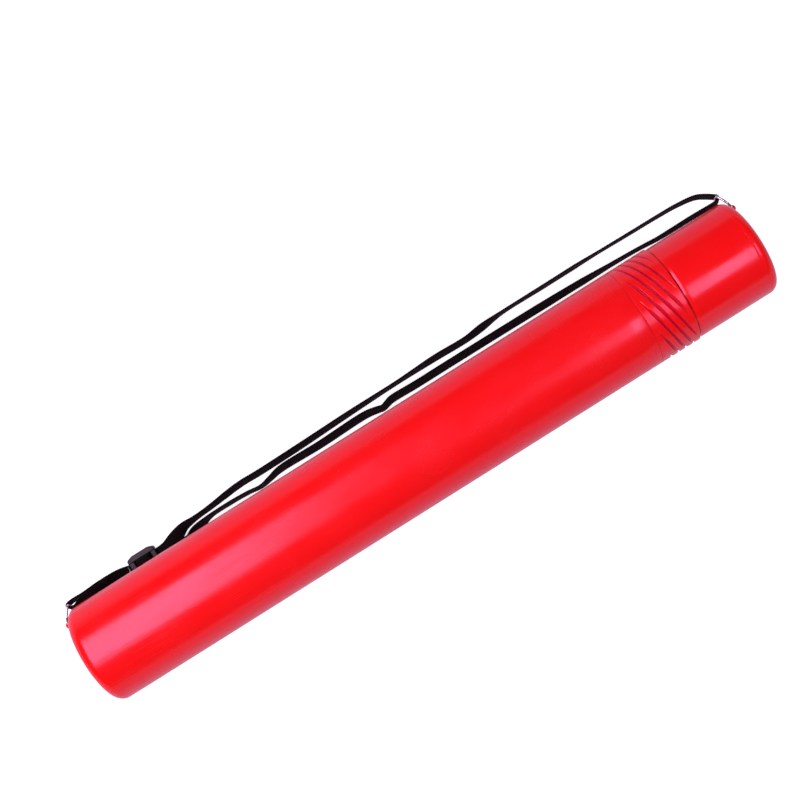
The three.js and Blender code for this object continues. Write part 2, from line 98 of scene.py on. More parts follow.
# Places read from the frame
BODY_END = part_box("twist_collar")[0][0]
COLLAR_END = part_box("twist_collar")[1][0]
CAP_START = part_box("cap")[0][0]
COLLAR_START = COLLAR_END - COLLAR_LENGTH
CLOSED_END = 0.5
INNER_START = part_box("inner_tube")[0][0]
INNER_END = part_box("inner_tube")[1][0]
TOOTH_MIDDLE = COLLAR_START + COLLAR_LENGTH * TOOTH_SHARE
FLAT_START = COLLAR_START - FLAT_LENGTH
FLOOR_Z = -TUBE_R

# Grip grooves on the collar. The taper is the share of a groove's length at either end in which
# it narrows and grows shallow.
GROOVES = 10
GROOVE_WRAP = math.radians(152.5)
GROOVE_PHASE = math.radians(22.5)
GROOVE_DEPTH = 1.35 * MM
GROOVE_HALF = 1.2 * MM
GROOVE_FIRST = 3.3 * MM
GROOVE_LAST = 1.9 * MM
GROOVE_TAPER = 0.13
GROOVE_END_WIDTH = 0.3
GROOVE_END_DEPTH = 0.12
COLLAR_ROWS = 112
COLLAR_LINES = 560

# Webbing: the band's size, its section's powers across and through, its ribs, and the shares by
# which they swell it and step its edges in
WEB_WIDTH = 10 * MM
WEB_THICK = 1.35 * MM
RIB_PITCH = 1.35 * MM
RINGS_PER_RIB = 7
SECTION_POINTS = 28
ACROSS_POWER = 0.22
THROUGH_POWER = 0.6
EDGE_THINNING = 0.35
RIB_SWELL = 0.14
RIB_STEP_IN = 0.008
WEB_TRIM = 0.15 * MM
WARP_PITCH = 0.55 * MM
# Between two places along the tube the band leans more than its solid does, by LEAN_MORE
# degrees, and fades in and out over LEAN_FADE.
LEAN_FROM, LEAN_TO, LEAN_FADE, LEAN_MORE = 0.104, 0.42, 0.02, 7

# Slider, in millimetres: its middle, its bars from end to end, half the width of the plate, half
# the thickness, and how far the rails stand over the middle
SLIDER_X, SLIDER_Y, SLIDER_Z = 54.5, 33.4, -29.2
SLIDER_BARS = ((-10, -6.0), (-1.4, 1.4), (6.5, 10))
SLIDER_PLATE_HALF, SLIDER_THICK_HALF, SLIDER_RAIL_TOP = 6.4, 1.3, 2.1
SLIDER_RAIL = ((-10, 4.95), (10, 4.95), (10, 6.9), (9.2, 7.8), (5.6, 9.0), (-5.6, 9.0),
               (-9.2, 7.8), (-10, 6.9))

# Studio: the camera's lens in millimetres, its place and roll, the level of the plain light all
# round, and the lamps' faint rose colour
CAMERA_LENS = 65.7
CAMERA_PLACE = (0.2554, 0.0354, 0.942)
CAMERA_ROLL = -32.14
FILL = 0.38
OVERHEAD = 0.05
FLOOR_MIRRORED = 0.32
LAMP_ROSE = (1.0, 0.7, 0.98)


# Camera and strap


def add_camera():
    """Camera straight above the tube, rolled so that the tube runs up to the right."""
    data = bpy.data.cameras.new("photo_camera")
    data.lens = CAMERA_LENS
    data.sensor_width = 36
    data.clip_end = 20
    camera = bpy.data.objects.new("photo_camera", data)
    camera.location = CAMERA_PLACE
    camera.rotation_euler = (0, 0, math.radians(CAMERA_ROLL))
    bpy.context.collection.objects.link(camera)
    bpy.context.scene.camera = camera


add_camera()

# The strap's route, as in the solids: x, y, z in millimetres and the lean of the band in degrees.
BASE_END_POINTS = [
    (28, 35.35, -21.4, 48), (21, 35.8, -17.3, 34), (12, 36.1, -12.4, 20), (8, 35, -10.3, 17),
    (5.6, 34.05, -9.15, 15), (2.6, 34.05, -9.13, 15), (1.3, 34.7, -9.3, 15),
    (0.72, 35.84, -9.6, 15), (1.3, 37, -9.9, 15), (2.6, 37.75, -10.1, 15),
    (5.6, 38.1, -10.3, 15), (12, 37.8, -13, 18), (21, 37.2, -18.2, 34), (30, 36.2, -24, 52),
    (37, 34.9, -28.9, 74), (42, 33.6, -31.9, 88),
]
OUTER_STRAND_POINTS = [
    (44.5, 33.4, -32.2, 90), (47.5, 33.4, -31.9, 90), (48.9, 33.4, -30.9, 90),
    (49.7, 33.4, -29.2, 90), (50.1, 33.4, -27.2, 90), (51.7, 33.4, -25.6, 90),
    (54.5, 33.4, -25, 90), (57.3, 33.4, -25.6, 90), (59.1, 33.4, -27.2, 90),
    (59.7, 33.4, -29.2, 90), (60.4, 33.4, -30.9, 90), (62, 33.4, -31.75, 90),
    (65, 33.5, -31.8, 89), (72.5, 34.3, -30.7, 84), (80, 37.2, -28.6, 65), (88, 40.2, -26.8, 42),
    (96, 41.2, -28.4, 24), (110, 42.2, -28.95, 18), (135, 44.6, -28.95, 18),
    (151, 44.4, -28.95, 18), (182, 44.8, -28.95, 18), (221, 45.8, -28.9, 14),
    (260, 46.3, -28.84, 8), (290, 46.7, -28.95, 18), (314, 46.2, -28.95, 18),
    (327, 47.4, -29.05, 23), (343, 48.6, -28.84, 7), (376, 48.6, -28.84, 7),
    (409, 48.6, -28.84, 8),
]
OUTER_END_POINTS = [(442, 48, -28.4, 10), (464, 47.6, -25.5, 11), (478, 46.9, -20.8, 12)]
CAP_LOOP_POINTS = [
    (489.6, 44.8, -15, 13), (495.7, 41.2, -11.6, 15), (499, 38.65, -10.4, 15),
    (500.25, 37.65, -10.1, 15), (500.65, 36.54, -9.79, 15), (500.1, 35.35, -9.5, 15),
    (498.9, 34.72, -9.3, 15), (495.7, 34.6, -9.4, 15), (480, 34.9, -14, 16),
]
INNER_END_POINTS = [(466, 34.9, -20, 15), (457, 35, -24.5, 14), (442, 36.2, -28.4, 13),
                    (409, 37.3, -28.95, 18)]
INNER_STRAND_POINTS = [
    (393, 37.7, -29, 20), (370, 38, -29.06, 24), (342, 38.3, -29.06, 24),
    (298, 38.5, -29.06, 24), (270, 38.5, -29.06, 24), (250.5, 38.8, -29.06, 24),
    (247, 37.9, -29, 22), (243.2, 37, -29, 20), (239, 37.9, -29, 22), (231, 39.2, -29.06, 24),
    (195, 38.6, -29.06, 24), (163, 38.8, -28.95, 20), (155, 37.2, -28.9, 14),
    (147, 35.8, -28.84, 9), (137, 36.9, -28.84, 8), (122, 37.5, -28.84, 9),
    (106, 37, -28.95, 18), (96, 34.2, -30.2, 50), (88, 30, -32.8, 86), (80, 30.4, -33.25, 90),
    (72.5, 32, -33.25, 90), (65.5, 33.2, -33.3, 90), (62, 33.4, -33.25, 90),
    (58, 33.4, -32.4, 90), (54.5, 33.4, -31.7, 90), (52.7, 33.4, -31.5, 90),
    (51.6, 33.4, -30.5, 90), (51.4, 33.4, -29.2, 90), (51.45, 33.4, -28.1, 90),
    (52.6, 33.4, -27, 90), (54.5, 33.4, -26.8, 90), (56.8, 33.4, -27, 90),
]
STRAP_PARTS = [
    ("base_end", BASE_END_POINTS), ("outer_strand", OUTER_STRAND_POINTS),
    ("outer_end", OUTER_END_POINTS), ("cap_loop", CAP_LOOP_POINTS),
    ("inner_end", INNER_END_POINTS), ("inner_strand", INNER_STRAND_POINTS),
]
ROUTE = np.array([point for _, part in STRAP_PARTS for point in part], float)
ROUTE[:, :3] *= MM


def route_at(t):
    """Centripetal Catmull-Rom line through the route's points, at point numbers t: between two
    points a cubic whose end slopes come from the neighbours, weighted by root distances."""
    last = len(ROUTE) - 1
    points = np.vstack([2 * ROUTE[0] - ROUTE[1], ROUTE, 2 * ROUTE[-1] - ROUTE[-2]])
    i = np.clip(np.floor(t).astype(int), 0, last - 1)
    f = (t - i)[:, None]
    p0, p1, p2, p3 = points[i], points[i + 1], points[i + 2], points[i + 3]
    d0 = np.sqrt(np.linalg.norm(p1[:, :3] - p0[:, :3], axis=1))[:, None]
    d1 = np.sqrt(np.linalg.norm(p2[:, :3] - p1[:, :3], axis=1))[:, None]
    d2 = np.sqrt(np.linalg.norm(p3[:, :3] - p2[:, :3], axis=1))[:, None]
    m1 = ((p1 - p0) / d0 - (p2 - p0) / (d0 + d1) + (p2 - p1) / d1) * d1
    m2 = ((p2 - p1) / d1 - (p3 - p1) / (d1 + d2) + (p3 - p2) / d2) * d1
    a = 2 * p1 - 2 * p2 + m1 + m2
    b = -3 * p1 + 3 * p2 - 2 * m1 - m2
    return p1 + m1 * f + b * f**2 + a * f**3


def new_object(name, vertices, faces, smooth_angle=35):
    """Mesh object at the origin from arrays of vertices and faces, smooth but for sharp edges."""
    mesh = bpy.data.meshes.new(name)
    mesh.from_pydata(vertices.tolist(), [], faces)
    mesh.shade_smooth()
    mesh.set_sharp_from_angle(angle=math.radians(smooth_angle))
    obj = bpy.data.objects.new(name, mesh)
    bpy.context.collection.objects.link(obj)
    return obj


def grid_faces(rows, columns, wrap_rows, wrap_columns):
    """Quads of a grid of rows and columns, joined round in either direction."""
    i = np.arange(rows if wrap_rows else rows - 1)
    j = np.arange(columns if wrap_columns else columns - 1)
    a, b = np.meshgrid(i, j, indexing="ij")
    c, d = (a + 1) % rows, (b + 1) % columns
    quads = np.stack([a * columns + b, c * columns + b, c * columns + d, a * columns + d], axis=-1)
    return quads.reshape(-1, 4).tolist()


def around(x, r, angle):
    """Points at x and radius r round the tube's axis: y is minus r times the angle's sine, and z
    is r times its cosine. The three arrays stretch to one grid."""
    grid = np.broadcast_arrays(x, -r * np.sin(angle), r * np.cos(angle))
    return np.stack(grid, axis=-1).reshape(-1, 3)


def webbing(name, first, last):
    """Length of webbing: a flat rounded section carried along the route between two of its
    points. The section is a superellipse of the band's width and thickness, whose thickness
    swells by a cosine of the length, one swell to a rib, and whose edges step in with the ribs."""
    t = np.linspace(first, last, 4000)
    line = route_at(t)
    steps = np.linalg.norm(np.diff(line[:, :3], axis=0), axis=1)
    length = np.concatenate([[0], np.cumsum(steps)])
    count = int((length[-1] - 2 * WEB_TRIM) / (RIB_PITCH / RINGS_PER_RIB)) + 1
    s = np.linspace(WEB_TRIM, length[-1] - WEB_TRIM, count)
    station = np.stack([np.interp(s, length, line[:, k]) for k in range(4)], axis=1)
    spot = station[:, :3]
    along = np.gradient(spot, axis=0)
    along /= np.linalg.norm(along, axis=1)[:, None]
    rise = (np.clip((spot[:, 0] - LEAN_FROM) / LEAN_FADE, 0, 1)
            * np.clip((LEAN_TO - spot[:, 0]) / LEAN_FADE, 0, 1))
    lean = np.radians(station[:, 3] + LEAN_MORE * rise)
    across = np.stack([0 * lean, np.sin(lean), np.cos(lean)], axis=1)
    across -= np.sum(across * along, axis=1)[:, None] * along
    across /= np.linalg.norm(across, axis=1)[:, None]
    through = np.cross(along, across)
    turn = np.linspace(0, 2 * np.pi, SECTION_POINTS, endpoint=False)
    cu, su = np.cos(turn), np.sin(turn)
    u = np.sign(cu) * np.abs(cu) ** ACROSS_POWER
    v = np.sign(su) * np.abs(su) ** THROUGH_POWER
    rib = np.cos(2 * np.pi * s / RIB_PITCH)[:, None]
    half_w = WEB_WIDTH / 2 * (1 - RIB_STEP_IN + RIB_STEP_IN * rib)
    edge = 1 - EDGE_THINNING * np.abs(u)[None, :] ** 10
    half_t = WEB_THICK / 2 * (1 - RIB_SWELL + RIB_SWELL * rib) * edge
    wide, thick = half_w * u[None, :], half_t * v[None, :]
    grid = (spot[:, None, :] + wide[..., None] * across[:, None, :]
            + thick[..., None] * through[:, None, :])
    n = SECTION_POINTS
    faces = grid_faces(count, n, False, True)
    faces.append(list(range(n)))
    faces.append(list(range((count - 1) * n, count * n))[::-1])
    obj = new_object(name, grid.reshape(-1, 3), faces, 60)
    layer = obj.data.attributes.new("strand", "FLOAT_VECTOR", "POINT")
    coordinates = np.zeros((count, n, 3))
    coordinates[..., 0] = s[:, None]
    coordinates[..., 1] = wide
    coordinates[..., 2] = thick
    layer.data.foreach_set("vector", coordinates.ravel())
    return obj, spot, float(length[-1])


webs = {}
reached = 0
for part_name, part_points in STRAP_PARTS:
    part_first = max(reached - 1, 0)
    reached += len(part_points)
    webs[part_name] = webbing("web_" + part_name, part_first, reached - 1)
    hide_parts("strap_" + part_name)


# Surfaces


def arc(x, r, size, start, end, steps=14):
    """Points of a circular arc about (x, r), from one angle to another in degrees."""
    angle = np.radians(np.linspace(start, end, steps + 1))
    return [(x + size * math.cos(a), r + size * math.sin(a)) for a in angle]


def turned(name, outline, segments=240):
    """Surface of revolution round X: each outline point (x, r) goes round in a circle. An
    outline that starts and ends on the axis closes in poles, any other closes on itself."""
    outline = np.array(outline, float)
    closed = outline[0][1] > 0
    body = outline if closed else outline[1:-1]
    angle = np.linspace(0, 2 * np.pi, segments, endpoint=False)
    vertices = around(body[:, 0][:, None], body[:, 1][:, None], angle)
    faces = grid_faces(len(body), segments, closed, True)
    if not closed:
        start_pole, end_pole = len(vertices), len(vertices) + 1
        vertices = np.vstack([vertices, [outline[0][0], 0, 0], [outline[-1][0], 0, 0]])
        first = np.arange(segments)
        second = (first + 1) % segments
        base = (len(body) - 1) * segments
        fans = np.stack([np.full(segments, start_pole), first, second,
                         np.full(segments, end_pole), base + second, base + first], axis=-1)
        faces += fans.reshape(-1, 3).tolist()
    return new_object(name, vertices, faces)


def grip_radius(x, angle):
    """Radius of the collar at x and angle: the tube's radius less the nearest groove's depth.
    A groove is a helix; its depth falls off across it as a smooth step and to nothing at both
    ends, where it also narrows."""
    start = COLLAR_START + GROOVE_FIRST
    length = COLLAR_END - GROOVE_LAST - start
    depth = np.zeros_like(x)
    for k in range(GROOVES):
        for lap in (-1, 0, 1):
            phase = angle - GROOVE_PHASE - 2 * np.pi * (k / GROOVES + lap)
            # Share of the helix nearest to the point, from its place along and round the tube.
            share = ((x - start) * length + phase * TUBE_R * GROOVE_WRAP * TUBE_R) / (
                length**2 + (GROOVE_WRAP * TUBE_R) ** 2)
            inside = np.clip(share, 0, 1)
            off_x = x - start - inside * length
            off_a = (phase - inside * GROOVE_WRAP) * TUBE_R
            away = np.hypot(off_x, off_a)
            full = np.clip(np.minimum(inside, 1 - inside) / GROOVE_TAPER, 0, 1)
            half = GROOVE_HALF * (GROOVE_END_WIDTH + (1 - GROOVE_END_WIDTH) * full)
            off = np.clip(away / half, 0, 1)
            fall = np.clip(1 - off**2.2 * (3.2 - 2.2 * off), 0, 1)
            share_deep = GROOVE_END_DEPTH + (1 - GROOVE_END_DEPTH) * full
            depth = np.maximum(depth, GROOVE_DEPTH * share_deep * fall)
    return TUBE_R - depth


def sector_block(start, end, r0, r1, middle, width, steps=12):
    """Vertices and quads of a block between two radii, two places along X and two angles: its
    four corners in x and r are carried round the axis, and both ends are closed."""
    angle = np.radians(np.linspace(middle - width / 2, middle + width / 2, steps + 1))
    ring = np.array([(start, r0), (start, r1), (end, r1), (end, r0)])
    vertices = around(ring[:, 0][None, :], ring[:, 1][None, :], angle[:, None])
    faces = grid_faces(steps + 1, 4, False, True)
    faces.append([0, 1, 2, 3])
    faces.append([4 * steps + 3, 4 * steps + 2, 4 * steps + 1, 4 * steps])
    return vertices, faces


def joined(vertices, faces, blocks):
    """Adds loose blocks to a mesh's arrays."""
    for more_vertices, more_faces in blocks:
        shift = len(vertices)
        vertices = np.vstack([vertices, more_vertices])
        faces.extend([[shift + i for i in face] for face in more_faces])
    return vertices, faces


def collar():
    """Twist collar: a fine grid over length and angle, whose radius is grip_radius outside and a
    turned outline inside, with three lock teeth. The groove's depth is kept as an attribute."""
    start = BODY_END
    outside_x = np.linspace(start + SEAM_EDGE, COLLAR_END - SEAM_BEVEL, COLLAR_ROWS)
    angle = np.linspace(0, 2 * np.pi, COLLAR_LINES, endpoint=False)
    x, a = np.meshgrid(outside_x, angle, indexing="ij")
    r = grip_radius(x, a)
    groove = (TUBE_R - r) / GROOVE_DEPTH
    neck = OUTER_BORE + NECK_WALL + SLIDE_GAP
    neck_end = start + NECK_LENGTH
    inside = [(COLLAR_END - 0.12 * MM, TUBE_R - 0.12 * MM), (COLLAR_END, TUBE_R - SEAM_BEVEL),
              (COLLAR_END, OUTER_BORE), (neck_end + SLIDE_GAP, OUTER_BORE),
              (neck_end + SLIDE_GAP, neck), (neck_end - BEAD_LENGTH, neck + BEAD_HEIGHT),
              (neck_end - 2 * BEAD_LENGTH, neck), (start, neck), (start, TUBE_R - SEAM_EDGE),
              (start + SEAM_EDGE_MIDDLE, TUBE_R - SEAM_EDGE_MIDDLE)]
    inside = np.array(inside)
    x = np.vstack([x, np.repeat(inside[:, 0][:, None], len(angle), axis=1)])
    r = np.vstack([r, np.repeat(inside[:, 1][:, None], len(angle), axis=1)])
    vertices = around(x, r, angle)
    faces = grid_faces(len(x), len(angle), True, True)
    reach = LATCH_R + SLIDE_GAP
    teeth = [sector_block(TOOTH_MIDDLE - TOOTH_LENGTH / 2, TOOTH_MIDDLE + TOOTH_LENGTH / 2,
                          reach, OUTER_BORE + TOOTH_ROOT, k * 360 / TOOTH_COUNT, TOOTH_ANGLE)
             for k in range(TOOTH_COUNT)]
    vertices, faces = joined(vertices, faces, teeth)
    obj = new_object("collar_ring", vertices, faces, 50)
    share = np.zeros(len(vertices))
    share[:groove.size] = groove.ravel()
    obj.data.attributes.new("groove", "FLOAT", "POINT").data.foreach_set("value", share)
    return obj


def slide_tube():
    """Inner tube: bands with lock grooves between them, crossed by three flats. The radius is
    the groove's where a point lies in a groove or a flat and the band's elsewhere, on a grid
    with a doubled line at each edge."""
    half_step, half_turn = 0.05 * MM, 0.0015
    bevel_length, bevel_depth = 0.4 * MM, 0.3 * MM
    stations = [INNER_START, INNER_START + bevel_length, FLAT_START - half_step,
                FLAT_START + half_step, INNER_END - bevel_length, INNER_END]
    for k in range(LATCH_COUNT):
        for side in (-1, 1):
            edge = TOOTH_MIDDLE - LATCH_PITCH * k + side * LATCH_WIDTH / 2
            stations += [edge - half_step, edge + half_step]
    x = np.array(sorted(stations))
    half = math.radians(FLAT_ANGLE / 2)
    angle = list(np.linspace(0, 2 * np.pi, 216, endpoint=False))
    for k in range(TOOTH_COUNT):
        for side in (-1, 1):
            edge = 2 * np.pi * k / TOOTH_COUNT + side * half
            angle += [(edge - half_turn) % (2 * np.pi), (edge + half_turn) % (2 * np.pi)]
    angle = np.array(sorted(angle))
    gx, ga = np.meshgrid(x, angle, indexing="ij")
    near = np.abs((gx - TOOTH_MIDDLE + LATCH_PITCH / 2) % LATCH_PITCH - LATCH_PITCH / 2)
    groove = (near < LATCH_WIDTH / 2) & (gx < TOOTH_MIDDLE + LATCH_PITCH / 2)
    groove &= gx > TOOTH_MIDDLE - (LATCH_COUNT - 0.5) * LATCH_PITCH
    third = 2 * np.pi / TOOTH_COUNT
    flat = (np.abs((ga + third / 2) % third - third / 2) < half) & (gx > FLAT_START)
    r = np.where(groove | flat, LATCH_R, BAND_R)
    # The first and last lines are the bevelled ends.
    r[[0, -1]] -= bevel_depth
    ends = np.repeat([[INNER_END], [INNER_START]], len(angle), axis=1)
    x = np.vstack([gx, ends])
    r = np.vstack([r, np.full_like(ends, INNER_BORE)])
    vertices = around(x, r, angle)
    return new_object("slide_tube", vertices, grid_faces(len(x), len(angle), True, True), 30)


def mesh_arrays(mesh):
    """Vertices and faces of a mesh, as joined takes them."""
    vertices = np.empty(len(mesh.vertices) * 3)
    mesh.vertices.foreach_get("co", vertices)
    return vertices.reshape(-1, 3), [list(p.vertices) for p in mesh.polygons]


def lug_block(face_x, outward):
    """Lug on an end face: a flat outline with a round hole, given thickness and a rounded edge,
    then turned to its place near the rim."""
    curve = bpy.data.curves.new("lug_outline", "CURVE")
    curve.dimensions = "2D"
    curve.fill_mode = "BOTH"
    hole_r, tip_r, root, bevel = 1.4 * MM, 2.4 * MM, 1.1 * MM, 0.3 * MM
    half_wide, half_thick = 3 * MM - bevel, 1.75 * MM - bevel
    tip = arc(HOLE_REACH, 0, tip_r - bevel, -90, 90, 20)
    outline = ([(-root, -half_wide), (0, -half_wide)] + tip
               + [(0, half_wide), (-root, half_wide)])
    hole = arc(HOLE_REACH, 0, hole_r + bevel, 0, 360, 28)[:-1]
    for loop in (outline, hole):
        spline = curve.splines.new("POLY")
        spline.points.add(len(loop) - 1)
        spline.points.foreach_set("co", np.array([(x, y, 0, 1) for x, y in loop]).ravel())
        spline.use_cyclic_u = True
    curve.extrude = half_thick
    curve.bevel_depth = bevel
    curve.bevel_resolution = 3
    holder = bpy.data.objects.new("lug_outline", curve)
    bpy.context.collection.objects.link(holder)
    bpy.context.view_layer.update()
    mesh = bpy.data.meshes.new_from_object(holder)
    vertices, faces = mesh_arrays(mesh)
    bpy.data.objects.remove(holder)
    bpy.data.meshes.remove(mesh)
    vertices[:, 1] += LUG_RADIUS
    if outward < 0:
        vertices[:, [0, 2]] *= -1
    drop = math.radians(-LUG_DROP)
    y = vertices[:, 1] * math.cos(drop) - vertices[:, 2] * math.sin(drop)
    z = vertices[:, 1] * math.sin(drop) + vertices[:, 2] * math.cos(drop)
    return np.stack([vertices[:, 0] + face_x, y, z], axis=1), faces


def with_blocks(obj, blocks):
    """Joins loose blocks to an object's mesh."""
    mesh = obj.data
    vertices, faces = joined(*mesh_arrays(mesh), blocks)
    name = obj.name
    bpy.data.objects.remove(obj)
    bpy.data.meshes.remove(mesh)
    return new_object(name, vertices, faces)


def body_tube():
    """Outer tube: closed rounded base, long wall, neck with a snap bead under the collar, keys
    that ride in the inner tube's flats, and the base lug."""
    neck = OUTER_BORE + NECK_WALL
    # The wall stops just short of the collar, so that a fine seam shows.
    end = BODY_END - 0.12 * MM
    solid_end = BODY_END - 0.15 * MM
    neck_end = solid_end + NECK_LENGTH
    inner = BASE_ROUNDING - OUTER_WALL
    outline = [(0, 0), (0, 0.02)]
    outline += arc(BASE_ROUNDING, TUBE_R - BASE_ROUNDING, BASE_ROUNDING, 180, 90)
    outline += [(x, TUBE_R) for x in np.linspace(0.02, 0.4, 20)]
    outline += [(end - SEAM_EDGE, TUBE_R), (end - SEAM_EDGE_MIDDLE, TUBE_R - SEAM_EDGE_MIDDLE),
                (end, TUBE_R - SEAM_EDGE), (end, neck), (neck_end - 2 * BEAD_LENGTH, neck),
                (neck_end - BEAD_LENGTH, neck + BEAD_HEIGHT), (neck_end, neck),
                (neck_end, OUTER_BORE)]
    outline += arc(BASE_WALL + inner, OUTER_BORE - inner, inner, 90, 180, 8)
    outline += [(BASE_WALL, 0.0)]
    shell = turned("body_tube", outline)
    reach = LATCH_R + SLIDE_GAP
    keys = [sector_block(solid_end - KEY_LENGTH, solid_end, reach, OUTER_BORE + TOOTH_ROOT,
                         k * 360 / TOOTH_COUNT, KEY_ANGLE)
            for k in range(TOOTH_COUNT)]
    return with_blocks(shell, keys + [lug_block(0.0, -1)])


def end_cap():
    """Cap: a sleeve with a bevelled lip, a fine line near its rounded end, and the cap lug."""
    bore = OUTER_BORE
    inner = CAP_ROUNDING - (CAP_R - bore)
    line_x = CLOSED_END - CAP_ROUNDING - 1.2 * MM
    face = CLOSED_END - CAP_END_WALL
    outline = [(face, 0.0), (face, 0.02)]
    outline += arc(face - inner, bore - inner, inner, 0, 90, 8)
    outline += [(CAP_START, bore), (CAP_START, CAP_R - 0.75 * MM),
                (CAP_START + 0.35 * MM, CAP_R - 0.6 * MM),
                (CAP_START + 1.6 * MM, CAP_R - 0.06 * MM), (CAP_START + 2.1 * MM, CAP_R)]
    outline += [(x, CAP_R) for x in np.linspace(CAP_START + 4 * MM, line_x - 0.6 * MM, 10)]
    outline += [(line_x - 0.2 * MM, CAP_R - 0.02 * MM), (line_x, CAP_R - 0.09 * MM),
                (line_x + 0.2 * MM, CAP_R - 0.02 * MM)]
    outline += arc(CLOSED_END - CAP_ROUNDING, CAP_R - CAP_ROUNDING, CAP_ROUNDING, 90, 0)
    outline += [(CLOSED_END, 0.02), (CLOSED_END, 0.0)]
    return with_blocks(turned("end_cap", outline), [lug_block(CLOSED_END, 1)])


def wire_ring(name, face_x, outward, lean_degrees):
    """Wire ring: a round section carried round a D outline, one half circle through the lug,
    two straight sides, two small corners and a straight bar for the strap."""
    half, side, corner, wire = 7 * MM, 3.5 * MM, 2 * MM, 0.8 * MM
    far = half + side
    a = np.linspace(np.pi, 1.5 * np.pi, 25)
    left = np.stack([half + half * np.cos(a), half * np.sin(a)], axis=1)
    b = np.linspace(-np.pi / 2, 0, 11)
    turn = np.stack([far + corner * np.cos(b), -(half - corner) + corner * np.sin(b)], axis=1)
    lower = np.vstack([left, turn])
    upper = lower[::-1] * [1, -1]
    loop = np.vstack([lower, upper[:-1]])
    along = np.roll(loop, -1, axis=0) - np.roll(loop, 1, axis=0)
    along /= np.linalg.norm(along, axis=1)[:, None]
    out = np.stack([along[:, 1], -along[:, 0]], axis=1)
    ring = np.linspace(0, 2 * np.pi, 20, endpoint=False)
    plane = loop[:, None, :] + wire * np.cos(ring)[None, :, None] * out[:, None, :]
    height = np.repeat(wire * np.sin(ring)[None, :], len(loop), axis=0)
    # The outline leans about the lug's hole, and then goes to the hole's place near the rim.
    lean = math.radians(lean_degrees)
    x = plane[..., 0] * math.cos(lean) + height * math.sin(lean) + HOLE_REACH
    r = plane[..., 0] * math.sin(lean) - height * math.cos(lean) + LUG_RADIUS
    e = plane[..., 1]
    drop = math.radians(LUG_DROP)
    y = r * math.cos(drop) + e * math.sin(drop)
    z = -r * math.sin(drop) + e * math.cos(drop)
    vertices = np.stack([face_x + outward * x, y, z], axis=-1).reshape(-1, 3)
    faces = grid_faces(len(loop), len(ring), True, True)
    return new_object(name, vertices, faces)


def recalculated(obj):
    """Turns a closed mesh's faces outwards."""
    work = bmesh.new()
    work.from_mesh(obj.data)
    bmesh.ops.recalc_face_normals(work, faces=work.faces)
    work.to_mesh(obj.data)
    work.free()


def strap_slider():
    """Slider: three bars that leave two slots, and two side rails with cut corners that stand on
    the floor. Each is an upright prism, and a bevel rounds every edge."""
    low = FLOOR_Z / MM + 0.05

    def prism(outline, z0, z1):
        """Upright block over an outline of x and y, in millimetres from the slider's middle."""
        count = len(outline)
        points = [((SLIDER_X + x) * MM, (SLIDER_Y + y) * MM, z * MM)
                  for z in (z0, z1) for x, y in outline]
        faces = [[i, (i + 1) % count, count + (i + 1) % count, count + i] for i in range(count)]
        faces += [list(range(count))[::-1], list(range(count, 2 * count))]
        return np.array(points), faces

    blocks = []
    wide = SLIDER_PLATE_HALF
    for x0, x1 in SLIDER_BARS:
        blocks.append(prism([(x0, -wide), (x1, -wide), (x1, wide), (x0, wide)],
                            SLIDER_Z - SLIDER_THICK_HALF, SLIDER_Z + SLIDER_THICK_HALF))
    for side in (-1, 1):
        blocks.append(prism([(x, side * y) for x, y in SLIDER_RAIL], low,
                            SLIDER_Z + SLIDER_RAIL_TOP))
    vertices, faces = joined(np.zeros((0, 3)), [], blocks)
    obj = new_object("slider_frame", vertices, faces, 30)
    bevel = obj.modifiers.new("edges", "BEVEL")
    bevel.width = 0.6 * MM
    bevel.segments = 3
    bevel.limit_method = "ANGLE"
    bevel.angle_limit = math.radians(30)
    return obj


# Materials


def tools(tree):
    """Short ways to add nodes to a tree and to join their sockets."""

    def add(kind, **values):
        node = tree.nodes.new(kind)
        for key, value in values.items():
            setattr(node, key, value)
        return node

    def link(source, target):
        tree.links.new(source, target)

    return add, link


def material(name):
    """New node material: itself, its Principled shader and the tools for its nodes."""
    mat = bpy.data.materials.new(name)
    mat.use_nodes = True
    return mat, mat.node_tree.nodes["Principled BSDF"], *tools(mat.node_tree)


def noise(add, link, coordinate, scale, stretch=(1, 1, 1), detail=3.0):
    """Noise over stretched coordinates."""
    mapping = add("ShaderNodeMapping")
    mapping.inputs["Scale"].default_value = stretch
    link(coordinate, mapping.inputs["Vector"])
    node = add("ShaderNodeTexNoise")
    node.inputs["Scale"].default_value = scale
    node.inputs["Detail"].default_value = detail
    link(mapping.outputs["Vector"], node.inputs["Vector"])
    return node.outputs["Fac"]


def ramp(add, link, source, low, high, out_low, out_high):
    """Maps a range of values to another, held at both ends."""
    node = add("ShaderNodeMapRange")
    node.inputs["From Min"].default_value = low
    node.inputs["From Max"].default_value = high
    node.inputs["To Min"].default_value = out_low
    node.inputs["To Max"].default_value = out_high
    link(source, node.inputs["Value"])
    return node.outputs["Result"]


def math_node(add, link, operation, a, b):
    """One sum or product of two values, each a socket or a number."""
    node = add("ShaderNodeMath", operation=operation)
    for index, value in enumerate((a, b)):
        if isinstance(value, (int, float)):
            node.inputs[index].default_value = value
        else:
            link(value, node.inputs[index])
    return node.outputs["Value"]


def two_tone(add, link, factor, tone_a, tone_b):
    """Mix of two plain colours by a factor."""
    mix = add("ShaderNodeMix", data_type="RGBA")
    mix.inputs["A"].default_value = (*tone_a, 1)
    mix.inputs["B"].default_value = (*tone_b, 1)
    link(factor, mix.inputs["Factor"])
    return mix.outputs["Result"]


